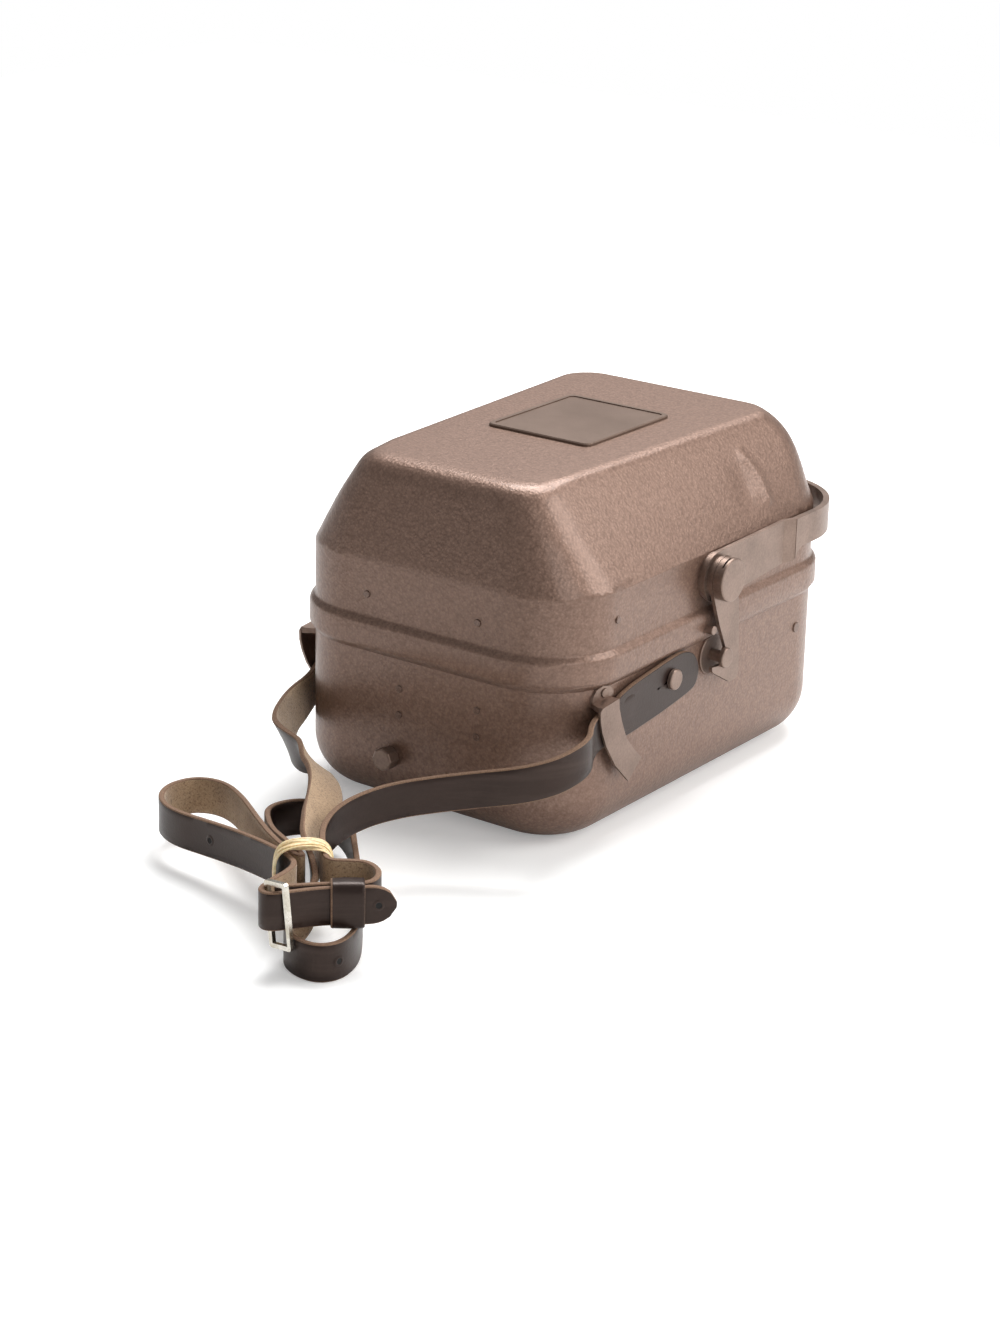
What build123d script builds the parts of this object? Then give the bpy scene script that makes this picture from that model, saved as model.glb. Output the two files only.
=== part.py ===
from build123d import *
import math
import os

os.makedirs("parts", exist_ok=True)

# Case, seen from above: a rounded rectangle, mirrored left to right.
# Units are millimetres, Z is up and the origin is the middle of the resting face.
case_width = 160.0
case_length = 230.0
corner = 36.0
sheet = 1.2
bottom_rounding = 24.0
slide_gap = 0.3
run_gap = 0.08

# Heights on the case wall.
bead_low = 75.2
ledge = 78.7
rim_top = 88.0
skirt_edge = ledge + slide_gap
skirt_top = 88.6
flare_top = 92.6
crease = 117.5
lid_top = 163.3
rim_grow = sheet
skirt_grow = rim_grow + slide_gap + sheet
bead_grow = 2.1

# Lid crown sections: height, front and back half width, front and back y, corner radii.
crown = [
    (crease, 80.0, 80.0, -115.0, 115.0, 36.0, 36.0),
    (132.0, 70.5, 75.5, -112.0, 111.5, 30.5, 34.0),
    (147.0, 60.0, 69.0, -108.6, 104.0, 23.0, 25.0),
    (lid_top, 48.5, 58.0, -105.0, 87.0, 18.0, 18.0),
]
crown_rounding = 8.0

# Pivot stack on each side of the lid, from the wall outwards.
pivot_y = -2.0
pivot_z = 106.3
pivot_bore = 8.0
washer_thick = 2.0
arm_thick = 2.0
spacer_thick = 1.5
hook_thick = 1.8
head_thick = 5.0
head_diameter = 20.6
washer_diameter = 22.0
spacer_diameter = 20.0
wall_x = case_width / 2
arm_in = wall_x + washer_thick + run_gap
arm_out = arm_in + arm_thick
spacer_in = arm_out + run_gap
spacer_out = spacer_in + spacer_thick
hook_in = spacer_out + run_gap
hook_out = hook_in + hook_thick
head_in = hook_out + run_gap
clench_thick = 1.6

# Handle.
eye_radius = 12.0
arm_end = 55.0
grip_start = 61.0
grip_gap = 4.5
grip_thick = 3.0
grip_low = 105.0
grip_high = 119.6
grip_rounding = 1.3

# Latch hook, stud and stop pin.
hook_eye = 10.5
stud_y = 0.3
stud_z = 67.3
stud_neck = 5.6
stud_head = 9.6
stud_head_thick = 2.2
stud_plate = 19.0
stud_plate_thick = 1.2
notch_gap = 0.3
hook_low = 53.4
pin_y = -7.6
pin_z = 82.2
pin_diameter = 4.4
pin_out = 87.0

# Straps, their studs and keepers.
strap_width = 17.0
strap_thick = 2.6
tab_seat = 1.5
strap_stud_y = -37.5
strap_stud_z = 66.6
strap_stud_neck = 5.0
strap_stud_head = 9.8
keeper_thick = 1.2
keeper_y = -86.5
keeper_z = 73.0

# Rivets and small fittings.
rivet_head = 3.4
rivet_shank = 2.2
rivet_dome = 0.7
front_rivet_x = 31.0
front_rivet_z = 102.3
side_rivet_y = -77.8
side_rivet_z = 104.6
bracket_x = [-12.2, 31.4]
bracket_rivet_z = [61.2, 48.6]
rear_rivet_y = 78.0
rear_rivet_z = 59.4
foot_stud_x = -16.3
foot_stud_z = 27.8

burr_thick = 0.8
burr_gap = 0.12

# Name plate.
plate_width = 57.6
plate_length = 69.0
plate_y = 4.4
plate_thick = 1.5


def outline(grow=0.0):
    return RectangleRounded(case_width + 2 * grow, case_length + 2 * grow, corner + grow)


def tiers(levels):
    return loft([Pos(0, 0, z) * outline(grow) for z, grow in levels], ruled=True)


def slab(low, high, grow):
    return Pos(0, 0, low) * extrude(outline(grow), high - low)


def ring(low, high, inner, outer):
    return Pos(0, 0, low) * extrude(outline(outer) - outline(inner), high - low)


def bead(extra):
    # The low bead that carries the lid's edge.
    return tiers([(bead_low, extra), (76.4, 1.0 + extra), (77.6, 1.8 + extra), (ledge, bead_grow + extra)])


def crown_section(row, inset):
    z, front, back, y0, y1, r0, r1 = row
    face = make_face(
        Polyline(
            (front - inset, y0 + inset),
            (back - inset, y1 - inset),
            (inset - back, y1 - inset),
            (inset - front, y0 + inset),
            close=True,
        )
    )
    corners = face.vertices().sort_by(Axis.Y)
    face = fillet(corners[:2], r0 - inset)
    face = fillet(face.vertices().sort_by(Axis.Y)[-2:], r1 - inset)
    return Pos(0, 0, z) * face


def crown_solid(inset):
    rows = [crown_section(row, inset) for row in crown[:-1]]
    last = list(crown[-1])
    last[0] -= inset
    rows.append(crown_section(last, inset))
    solid = loft(rows)
    return fillet(solid.faces().sort_by(Axis.Z)[-1].edges(), crown_rounding - inset)


def both_sides(solid):
    return [solid, mirror(solid, Plane.YZ)]


def side_disc(y, z, x0, x1, diameter):
    return Pos(x0, y, z) * Rot(0, 90, 0) * extrude(Circle(diameter / 2), x1 - x0)


def side_outline(points, x0, x1, rounding=0.0):
    # Points are (y, z) pairs on the side of the case.
    wire = Polyline(*[(x0, y, z) for y, z in points], close=True)
    face = make_face(wire)
    if rounding:
        face = fillet(face.vertices(), rounding)
    return extrude(face, x1 - x0, dir=(1, 0, 0))


def rivet_body(grip, head=rivet_head, shank=rivet_shank, dome=rivet_dome):
    # The head's underside is at the origin and the shank runs to -Z.
    cap = extrude(Circle(head / 2), dome)
    cap = fillet(cap.edges().sort_by(Axis.Z)[-1], dome * 0.6)
    stem = Pos(0, 0, -grip) * extrude(Circle(shank / 2), grip)
    tail = Pos(0, 0, -grip - 0.6) * extrude(Circle(head / 2 - 0.2), 0.6)
    return cap + stem + tail


def aim(x, y, z, nx, ny):
    return Location(Plane(origin=(x, y, z), x_dir=(-ny, nx, 0), z_dir=(nx, ny, 0)))


def drill(place, diameter, depth=8.0):
    return place * Pos(0, 0, -depth / 2) * extrude(Circle(diameter / 2), depth)


def band(route, width, thick):
    # A flat strap: straight runs joined by arcs, its width kept upright.
    points = [Vector(*p) for p in route]
    radii = []
    for a, b, c in zip(points, points[1:], points[2:]):
        turn = (b - a).get_angle(c - b)
        run = min((b - a).length, (c - b).length)
        radii.append(0.45 * run / math.tan(math.radians(turn / 2)))
    path = FilletPolyline(*points, radius=radii)
    guide = FilletPolyline(*[p + Vector(0, 0, 60) for p in points], radius=radii)
    start = Plane(origin=path @ 0, x_dir=Vector(0, 0, 1).cross(path % 0), z_dir=path % 0)
    solid = sweep(start * Rectangle(thick, width), path=path, binormal=guide)
    print("radii", [round(r, 1) for r in radii])
    print("length", round(path.length, 1), "volume share", round(solid.volume / (path.length * width * thick), 3))
    return solid


def wall_place(angle_y, z, side=1):
    # The place and outward direction on the corner wall at a given y.
    reach = abs(angle_y) - (case_length / 2 - corner)
    if reach <= 0:
        return aim(side * wall_x, angle_y, z, side, 0)
    angle = math.asin(reach / corner)
    x = wall_x - corner + corner * math.cos(angle)
    return aim(side * x, angle_y, z, side * math.cos(angle), math.copysign(math.sin(angle), angle_y))


# Places of the rivets.
lid_front_places = [aim(s * front_rivet_x, -case_length / 2, front_rivet_z, 0, -1) for s in (1, -1)]
lid_side_places = [wall_place(side_rivet_y, side_rivet_z, s) for s in (1, -1)]
bracket_places = [aim(x, -case_length / 2, z, 0, -1) for x in bracket_x for z in bracket_rivet_z]
rear_places = [wall_place(rear_rivet_y, rear_rivet_z, s) for s in (1, -1)]
keeper_places = [wall_place(keeper_y, keeper_z, s) for s in (1, -1)]
foot_place = aim(foot_stud_x, -case_length / 2, foot_stud_z, 0, -1)


def make_body():
    outer = slab(0, bead_low, 0)
    outer = fillet(outer.faces().sort_by(Axis.Z)[0].edges(), bottom_rounding)
    outer += bead(0)
    outer += slab(ledge, rim_top, rim_grow)
    inner = slab(sheet, bead_low + 0.8, -sheet)
    inner = fillet(inner.faces().sort_by(Axis.Z)[0].edges(), bottom_rounding - sheet)
    inner += tiers([(bead_low + 0.8, -sheet), (77.4, 0), (rim_top, 0)])
    solid = outer - inner
    for place in bracket_places + rear_places + keeper_places:
        solid -= drill(place, rivet_shank + 2 * run_gap)
    solid -= drill(foot_place, 5.0 + 2 * run_gap)
    for s in (1, -1):
        solid -= drill(aim(s * wall_x, stud_y, stud_z, s, 0), stud_neck + 2 * run_gap)
        solid -= drill(aim(s * wall_x, strap_stud_y, strap_stud_z, s, 0), strap_stud_neck + 2 * run_gap)
    return solid


def make_lid():
    outer = tiers([(skirt_edge, skirt_grow), (skirt_top, skirt_grow), (90.2, 2.1), (91.4, 0.8), (flare_top, 0)])
    outer += slab(flare_top, crease, 0)
    outer += crown_solid(0)
    inner = tiers([(skirt_edge, skirt_grow - sheet), (skirt_top, skirt_grow - sheet), (flare_top, -sheet)])
    inner += slab(flare_top, crease, -sheet)
    inner += crown_solid(sheet)
    solid = outer - inner
    for place in lid_front_places + lid_side_places:
        solid -= drill(place, rivet_shank + 2 * run_gap)
    for s in (1, -1):
        solid -= drill(aim(s * wall_x, pivot_y, pivot_z, s, 0), pivot_bore + 2 * run_gap)
        solid -= drill(aim(s * (wall_x + skirt_grow), pin_y, pin_z, s, 0), pin_diameter - 1.2 + 2 * run_gap)
    return solid


def make_seal():
    return ring(rim_top + 0.15, rim_top + 1.3, -0.6, 0.6)


def make_name_plate():
    base = extrude(RectangleRounded(plate_width, plate_length, 4), plate_thick)
    base = chamfer(base.faces().sort_by(Axis.Z)[-1].edges(), 0.5)
    base -= Pos(0, 0, plate_thick - 0.5) * extrude(RectangleRounded(plate_width - 5, plate_length - 5, 2.5), 1)
    return Pos(0, plate_y, lid_top) * base


def make_pivot_stud():
    stem = side_disc(pivot_y, pivot_z, wall_x - sheet, head_in, pivot_bore)
    clench = side_disc(pivot_y, pivot_z, wall_x - sheet - clench_thick, wall_x - sheet, 14)
    head = side_disc(pivot_y, pivot_z, head_in, head_in + head_thick, head_diameter)
    head = fillet(head.edges().filter_by(GeomType.CIRCLE).sort_by(Axis.X)[-1], 0.8)
    notch = Pos(head_in + head_thick - 1.9, pivot_y - 5, pivot_z + 9.5) * Box(1.0, 9, 5)
    return stem + clench + (head - notch)


def make_washer(x0, x1, diameter, bore=pivot_bore):
    disc = side_disc(pivot_y, pivot_z, x0, x1, diameter)
    disc = chamfer(disc.edges().filter_by(GeomType.CIRCLE).sort_by(Axis.X)[-1], 0.4)
    return disc - side_disc(pivot_y, pivot_z, x0 - 1, x1 + 1, bore + 2 * run_gap)


def make_handle():
    top = grip_high + 10
    low = 80.0
    grip_in = grip_gap
    grip_out = grip_gap + grip_thick
    loop = ring(low, top, grip_in, grip_out)
    loop -= Pos(0, grip_start - 200, 100) * Box(400, 400, 200)
    strips = []
    for s in (1, -1):
        plan = Polyline(
            (s * arm_in, pivot_y - eye_radius - 1),
            (s * arm_out, pivot_y - eye_radius - 1),
            (s * arm_out, arm_end),
            (s * (wall_x + grip_out), grip_start + 0.5),
            (s * (wall_x + grip_in), grip_start + 0.5),
            (s * arm_in, arm_end + 1),
            close=True,
        )
        strips.append(Pos(0, 0, low) * extrude(make_face(plan), top - low))
    shape = loop + strips[0] + strips[1]
    arm = side_outline(
        [
            (pivot_y, pivot_z - eye_radius),
            (60.0, 98.8),
            (63.0, 103.0),
            (67.0, grip_low),
            (140.0, grip_low),
            (140.0, grip_high),
            (60.0, grip_high),
            (pivot_y, pivot_z + eye_radius),
        ],
        -120,
        120,
    )
    arm += Pos(-120, pivot_y, pivot_z) * Rot(0, 90, 0) * extrude(Circle(eye_radius), 240)
    shape = shape & arm
    for s in (1, -1):
        shape -= drill(aim(s * wall_x, pivot_y, pivot_z, s, 0), pivot_bore + 2 * run_gap, 40)
    return shape


def make_hook():
    reach = math.hypot(stud_y - pivot_y, stud_z - pivot_z) + stud_neck / 2 + notch_gap
    short = reach - stud_neck - 2 * notch_gap
    plate = side_outline(
        [
            (pivot_y - 9.6, pivot_z - 4.0),
            (pivot_y + 9.9, pivot_z - 3.0),
            (11.6, 92.5),
            (13.2, 72.3),
            (14.4, 57.0),
            (12.6, hook_low + 0.3),
            (6.6, hook_low),
            (-8.4, 62.0),
            (-9.3, 63.6),
            (-8.9, 66.0),
            (-3.0, 66.0),
            (1.9, 71.5),
            (-4.5, 84.4),
            (-9.9, 98.0),
        ],
        hook_in,
        hook_out,
    )
    plate += side_disc(pivot_y, pivot_z, hook_in, hook_out, 2 * hook_eye)
    slot = side_disc(pivot_y, pivot_z, hook_in - 1, hook_out + 1, 2 * reach)
    slot -= side_disc(pivot_y, pivot_z, hook_in - 2, hook_out + 2, 2 * short)
    keep = Pos((hook_in + hook_out) / 2, stud_y - 30, stud_z) * Box(6, 60, 14)
    plate -= slot & keep
    plate -= side_disc(stud_y, stud_z, hook_in - 1, hook_out + 1, stud_neck + 2 * notch_gap)
    plate -= side_disc(pivot_y, pivot_z, hook_in - 1, hook_out + 1, pivot_bore + 2 * run_gap)
    return plate


def make_latch_plate():
    disc = side_disc(stud_y, stud_z, wall_x, wall_x + stud_plate_thick, stud_plate)
    disc = chamfer(disc.edges().filter_by(GeomType.CIRCLE).sort_by(Axis.X)[-1], 0.3)
    disc -= bead(0.05)
    return disc - side_disc(stud_y, stud_z, wall_x - 1, wall_x + 3, stud_neck + 2 * run_gap)


def make_latch_stud():
    low = hook_out + 0.2
    stem = side_disc(stud_y, stud_z, wall_x - sheet, low, stud_neck)
    tail = side_disc(stud_y, stud_z, wall_x - sheet - 1, wall_x - sheet, 8)
    head = side_disc(stud_y, stud_z, low, low + stud_head_thick, stud_head)
    head = fillet(head.edges().filter_by(GeomType.CIRCLE).sort_by(Axis.X)[-1], 0.7)
    return stem + tail + head


def make_stop_pin():
    root = wall_x + skirt_grow
    stem = side_disc(pin_y, pin_z, root, pin_out, pin_diameter)
    stem = chamfer(stem.edges().filter_by(GeomType.CIRCLE).sort_by(Axis.X)[-1], 0.3)
    neck = side_disc(pin_y, pin_z, root - sheet, root, pin_diameter - 1.2)
    return stem + neck


def make_strap_stud():
    low = wall_x + tab_seat + strap_thick + 0.5
    stem = side_disc(strap_stud_y, strap_stud_z, wall_x - sheet, low, strap_stud_neck)
    tail = side_disc(strap_stud_y, strap_stud_z, wall_x - sheet - 1, wall_x - sheet, 8)
    head = side_disc(strap_stud_y, strap_stud_z, low, low + 2.2, strap_stud_head)
    head = fillet(head.edges().filter_by(GeomType.CIRCLE).sort_by(Axis.X)[-1], 0.9)
    return stem + tail + head


def make_stud_washer():
    disc = side_disc(strap_stud_y, strap_stud_z, wall_x, wall_x + 1.2, 13)
    return disc - side_disc(strap_stud_y, strap_stud_z, wall_x - 1, wall_x + 2, strap_stud_neck + 2 * run_gap)


def make_keeper():
    # A blade over the strap, a step inwards above it and a rounded seat on the wall.
    flat_in = wall_x + tab_seat + strap_thick + 0.4
    flat_out = flat_in + keeper_thick
    blade = side_outline(
        [
            (-97.2, 68.0),
            (-97.0, 63.5),
            (-95.4, 58.0),
            (-91.9, 50.5),
            (-84.3, 39.3),
            (-73.0, 28.2),
            (-63.1, 36.7),
            (-69.2, 42.4),
            (-75.9, 49.8),
            (-80.0, 58.8),
            (-82.3, 65.5),
            (-82.8, 70.5),
        ],
        flat_in,
        flat_out,
    )
    seat_points = [
        (-93.2, 68.4),
        (-93.0, 72.0),
        (-91.2, 75.2),
        (-87.6, 76.6),
        (-83.6, 75.6),
        (-80.9, 73.0),
        (-80.9, 70.7),
    ]
    room = wall_x + skirt_grow
    seat = ring(60, 78, 0.05, keeper_thick + 0.05) & side_outline(seat_points, 50, room)
    seat -= bead(0.05)
    step = ring(60, 78, 0.05, 16)
    step &= side_outline([(-97.2, 66.6), (-82.8, 68.9), (-82.8, 70.5), (-95.6, 69.4), (-97.2, 68.0)], 50, flat_out)
    step &= extrude(make_face(Polyline((86, -97.3), (86, -82.8), (70, -82.8), (70, -89.5), close=True)), 100)
    solid = blade + seat + step
    return solid - drill(keeper_places[0], rivet_shank + 2 * run_gap)


def make_foot_stud():
    stem = Pos(0, 0, -sheet) * extrude(Circle(2.5), sheet + 1.5)
    head = extrude(RegularPolygon(5.4, 8), 6.0)
    head = fillet(head.faces().sort_by(Axis.Z)[-1].edges(), 0.8)
    tail = Pos(0, 0, -sheet - 1) * extrude(Circle(4), 1)
    return foot_place * (stem + Pos(0, 0, 1.5) * head + extrude(Circle(4.2), 1.5) + tail)


def make_bracket(x):
    plate = Pos(x, -case_length / 2 + sheet + 0.5, 55) * Box(9, 1, 25)
    leg = Pos(x + 4, -case_length / 2 + sheet + 6, 55) * Box(1, 12, 25)
    solid = plate + leg
    for place in bracket_places:
        solid -= drill(place, rivet_shank + 2 * run_gap)
    return solid


def make_lid_strip():
    strip = Pos(0, -case_length / 2 + sheet + 0.5, front_rivet_z) * Box(74, 1, 11)
    for place in lid_front_places:
        strip -= drill(place, rivet_shank + 2 * run_gap)
    return strip


def make_ring_washers(places):
    burrs = []
    for place in places:
        disc = Pos(0, 0, -sheet - burr_gap - burr_thick) * extrude(Circle(3.0), burr_thick)
        burrs.append(place * disc - drill(place, rivet_shank + 2 * run_gap))
    return burrs


strap_line = wall_x + tab_seat + strap_thick / 2
tab_offset = -1.3
right_swing = 8.0
left_swing = 18.0
left_sag = 0.0044


def from_stud(side, along, across=tab_offset):
    # A place on the tab: along it from the stud, and across it. The left one hangs lower.
    turn = math.radians(right_swing if side > 0 else left_swing)
    sag = 0 if side > 0 else left_sag * max(0, -8 - along) ** 2
    y = strap_stud_y + along * math.cos(turn) - across * math.sin(turn)
    z = strap_stud_z + along * math.sin(turn) + across * math.cos(turn) - sag
    return (side * strap_line, y, z)


right_route = [
    from_stud(1, 7),
    from_stud(1, -8, tab_offset - 0.15),
    from_stud(1, -30),
    from_stud(1, -48, tab_offset - 0.1),
    from_stud(1, -63),
    (92.6, -115.5, 53.5),
    (83.5, -137.0, 46.5),
    (50.0, -157.0, 40.5),
    (29.0, -177.5, 37.0),
    (22.0, -199.0, 33.5),
    (26.0, -217.0, 30.0),
    (39.5, -232.5, 28.0),
    (47.0, -239.0, 27.5),
    (54.5, -233.8, 27.5),
    (61.5, -230.0, 27.6),
    (70.5, -233.5, 27.6),
    (75.4, -242.0, 27.6),
    (73.6, -248.5, 27.6),
    (62.6, -257.2, 27.6),
    (54.0, -266.6, 27.6),
    (47.6, -273.2, 27.6),
]

left_route = [
    from_stud(-1, 7),
    from_stud(-1, -8, tab_offset - 0.15),
    from_stud(-1, -23),
    from_stud(-1, -36),
    from_stud(-1, -48),
    (-80.5, -96.0, 38.0),
    (-76.0, -110.0, 37.4),
    (-69.0, -126.0, 37.2),
    (-58.0, -143.0, 37.0),
    (-41.0, -156.0, 37.0),
    (-22.5, -162.3, 37.0),
    (-6.5, -174.0, 36.2),
    (7.5, -192.5, 34.5),
    (17.5, -212.0, 31.5),
    (35.7, -234.7, 25.0),
    (42.5, -241.0, 19.0),
    (45.4, -251.0, 13.0),
    (45.0, -262.0, 9.0),
    (51.5, -271.0, 8.6),
    (61.5, -275.5, 8.6),
    (72.0, -274.5, 8.6),
    (76.6, -265.5, 8.6),
    (72.5, -250.5, 8.6),
    (59.0, -231.5, 9.0),
    (42.0, -212.0, 11.0),
    (26.0, -194.0, 13.0),
    (9.0, -176.0, 14.0),
    (-10.0, -165.0, 14.0),
    (-25.0, -172.0, 14.5),
    (-27.0, -189.0, 16.0),
    (-16.0, -203.0, 18.5),
    (-1.0, -217.5, 22.0),
    (14.0, -228.0, 25.0),
    (34.6, -238.2, 26.0),
    (33.2, -241.2, 26.0),
    (11.0, -231.2, 25.5),
    (-13.0, -213.6, 23.0),
    (-40.0, -193.0, 20.0),
    (-58.0, -184.5, 18.5),
    (-71.5, -187.5, 17.7),
    (-75.5, -201.0, 17.5),
    (-68.5, -214.5, 17.5),
    (-54.0, -222.0, 17.7),
    (-31.0, -223.4, 18.7),
    (-8.0, -228.8, 21.5),
    (11.0, -235.2, 24.0),
    (27.0, -242.4, 26.5),
    (38.0, -248.0, 27.0),
    (41.4, -258.0, 27.3),
    (42.2, -268.5, 27.6),
    (44.3, -279.5, 27.6),
    (51.0, -281.0, 27.6),
    (58.0, -269.6, 27.6),
    (66.0, -259.6, 27.6),
    (76.0, -251.4, 27.6),
    (85.0, -241.0, 27.3),
]


def make_strap(route, side):
    solid = band(route, strap_width, strap_thick)
    edge = [
        (-44.0, 10.0),
        (-32.0, 9.9),
        (-20.0, 9.8),
        (2.9, 9.5),
        (11.8, 8.4),
        (18.3, 4.7),
        (21.3, -0.6),
        (21.6, -5.7),
        (19.2, -10.4),
        (14.9, -12.3),
        (-8.3, -12.5),
        (-20.0, -12.2),
        (-36.0, -11.6),
        (-47.0, -11.4),
    ]
    low = min(side * seat for seat in (wall_x + tab_seat, wall_x + tab_seat + strap_thick))
    tab = side_outline([from_stud(side, u, v)[1:] for u, v in edge], low, low + strap_thick)
    slit = [from_stud(side, u, v)[1:] for u, v in ((-12, -0.4), (0, -0.4), (0, 0.4), (-12, 0.4))]
    slit = side_outline(slit, low - 3, low + 6)
    hole = side_disc(strap_stud_y, strap_stud_z, low - 3, low + 6, strap_stud_neck + 0.6)
    return solid + (tab - bead(0.05)) - slit - hole


def make_buckle_frame():
    frame = RectangleRounded(12.6, 29.0, 1.4) - Rectangle(8.6, 25.0)
    frame = extrude(frame, 1.0, both=True)
    place = Plane(origin=(52.75, -276.7, 25.4), x_dir=(0.99, -0.11, 0), z_dir=(-0.11, -0.99, 0))
    return place * Rot(0, 0, 7) * frame


def make_strap_loop():
    # A leather loop round the front run and the layer behind it.
    hoop = RectangleRounded(11.4, 20.4, 1.0) - Rectangle(8.6, 17.6)
    place = Plane(origin=(64.4, -258.1, 27.6), x_dir=(-0.634, 0.773, 0), z_dir=(0.773, 0.634, 0))
    return place * extrude(hoop, 14)


def make_rubber_band():
    # A closed band round all the layers of strap where they meet.
    hoop = RectangleRounded(27.6, 28.6, 3.0) - RectangleRounded(24.6, 25.6, 1.5)
    place = Plane(origin=(31.0, -235.4, 24.6), x_dir=(0.89, 0.45, 0), z_dir=(0.45, -0.89, 0))
    return place * extrude(hoop, 5)


def save(name, solids):
    solids = solids if isinstance(solids, list) else [solids]
    flat = []
    for item in solids:
        flat += item.solids()
    shape = flat[0] if len(flat) == 1 else Compound(children=flat)
    export_step(shape, "parts/" + name + ".step")
    print(name, len(flat), [round(v, 1) for v in shape.bounding_box().min], [round(v, 1) for v in shape.bounding_box().max])


burr_grip = sheet + burr_gap + burr_thick
save("body_shell", make_body())
save("lid_shell", make_lid())
save("lid_seal", make_seal())
save("name_plate", make_name_plate())
for side, solid in zip(("right", "left"), both_sides(make_pivot_stud())):
    save("pivot_stud_" + side, solid)
save("pivot_washers", both_sides(make_washer(wall_x, wall_x + washer_thick, washer_diameter)))
save("spacer_washers", both_sides(make_washer(spacer_in, spacer_out, spacer_diameter)))
save("handle", make_handle())
for side, solid in zip(("right", "left"), both_sides(make_hook())):
    save("hook_" + side, solid)
save("stop_pins", both_sides(make_stop_pin()))
save("latch_plates", both_sides(make_latch_plate()))
save("latch_studs", both_sides(make_latch_stud()))
save("strap_studs", both_sides(make_strap_stud()))
save("strap_stud_washers", both_sides(make_stud_washer()))
for side, solid in zip(("right", "left"), both_sides(make_keeper())):
    save("strap_keeper_" + side, solid)
keeper_seat = keeper_thick + 0.12
save("keeper_rivets", [place * Pos(0, 0, keeper_seat) * rivet_body(keeper_seat + sheet + 0.1, 4.4) for place in keeper_places])
save("foot_stud", make_foot_stud())
save("lid_front_rivets", [place * rivet_body(sheet + 1.0) for place in lid_front_places])
save("lid_side_rivets", [place * rivet_body(burr_grip) for place in lid_side_places])
save("bracket_rivets", [place * rivet_body(sheet + 1.0) for place in bracket_places])
save("rear_rivets", [place * rivet_body(burr_grip, 5.0) for place in rear_places])
save("inner_brackets", [make_bracket(x) for x in bracket_x])
save("lid_front_strip", make_lid_strip())
save("lid_rivet_washers", make_ring_washers(lid_side_places))
save("rear_rivet_washers", make_ring_washers(rear_places))
save("floor_pad", Pos(0, 0, sheet) * extrude(RectangleRounded(108, 178, 12), 2.5))
save("lid_pad", Pos(0, -9, lid_top - sheet - 2.5) * extrude(RectangleRounded(72, 150, 10), 2.5))
save("strap_right", make_strap(right_route, 1))
save("strap_left", make_strap(left_route, -1))
save("buckle_frame", make_buckle_frame())
save("strap_loop", make_strap_loop())
save("rubber_band", make_rubber_band())
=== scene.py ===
import math
import random

import bmesh
import bpy
from mathutils import Matrix, Vector, noise
from mathutils.bvhtree import BVHTree


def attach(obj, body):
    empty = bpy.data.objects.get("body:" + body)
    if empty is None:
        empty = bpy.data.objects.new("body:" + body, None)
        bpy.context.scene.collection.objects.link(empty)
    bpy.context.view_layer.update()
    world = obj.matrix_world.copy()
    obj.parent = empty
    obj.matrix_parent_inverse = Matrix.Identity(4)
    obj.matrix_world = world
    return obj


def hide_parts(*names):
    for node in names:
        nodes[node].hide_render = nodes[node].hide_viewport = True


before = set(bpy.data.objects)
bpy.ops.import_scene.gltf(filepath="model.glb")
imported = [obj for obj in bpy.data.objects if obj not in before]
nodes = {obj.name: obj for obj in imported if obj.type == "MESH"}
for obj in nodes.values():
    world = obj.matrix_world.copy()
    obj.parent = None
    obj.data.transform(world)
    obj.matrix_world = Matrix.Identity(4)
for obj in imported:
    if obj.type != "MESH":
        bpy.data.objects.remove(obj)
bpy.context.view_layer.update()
MM = 0.001
UPWARD = Vector((0, 0, 1))


def link(obj):
    bpy.context.scene.collection.objects.link(obj)
    return obj


# ---- camera ----

FOCAL_LENGTH = 84.06
SENSOR_WIDTH = 36.0
CAMERA_PLACE = Vector((0.78600, -1.14767, 0.54632))
CAMERA_RIGHT = Vector((0.8071, 0.5900, 0.0217))
CAMERA_FORWARD = Vector((-0.5492, 0.7638, -0.3391))

camera_data = bpy.data.cameras.new("camera")
camera_data.lens = FOCAL_LENGTH
camera_data.sensor_width = SENSOR_WIDTH
camera_data.sensor_fit = "AUTO"
camera_data.clip_end = 50.0
camera = link(bpy.data.objects.new("camera", camera_data))
forward = CAMERA_FORWARD.normalized()
up = CAMERA_RIGHT.normalized().cross(forward).normalized()
right = forward.cross(up).normalized()
camera.matrix_world = Matrix(
    (
        (right.x, up.x, -forward.x, CAMERA_PLACE.x),
        (right.y, up.y, -forward.y, CAMERA_PLACE.y),
        (right.z, up.z, -forward.z, CAMERA_PLACE.z),
        (0, 0, 0, 1),
    )
)
bpy.context.scene.camera = camera
bpy.context.scene.view_settings.view_transform = "Standard"


# ---- light ----

WHITE = (1, 1, 1, 1)
WORLD_LIGHT = 0.32
WORLD_SEEN = 1.0


def lamp(name, place, target, size, power, color=(1, 1, 1)):
    """A rectangular lamp of size metres, at place, that faces target."""
    data = bpy.data.lights.new(name, "AREA")
    data.shape = "RECTANGLE"
    data.size, data.size_y = size
    data.energy = power
    data.color = color
    obj = link(bpy.data.objects.new(name, data))
    obj.location = place
    obj.rotation_euler = (Vector(target) - Vector(place)).to_track_quat("-Z", "Y").to_euler()


lamp("key", (1.35, 0.75, 1.0), (0.0, 0.0, 0.08), (1.2, 1.0), 20.0, (1.0, 0.985, 0.97))
lamp("top", (-0.25, 0.75, 1.7), (0.0, 0.0, 0.1), (1.4, 1.2), 52.0)
lamp("side", (1.7, -0.7, 0.75), (0.05, 0.0, 0.08), (1.0, 0.8), 7.0)

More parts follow.
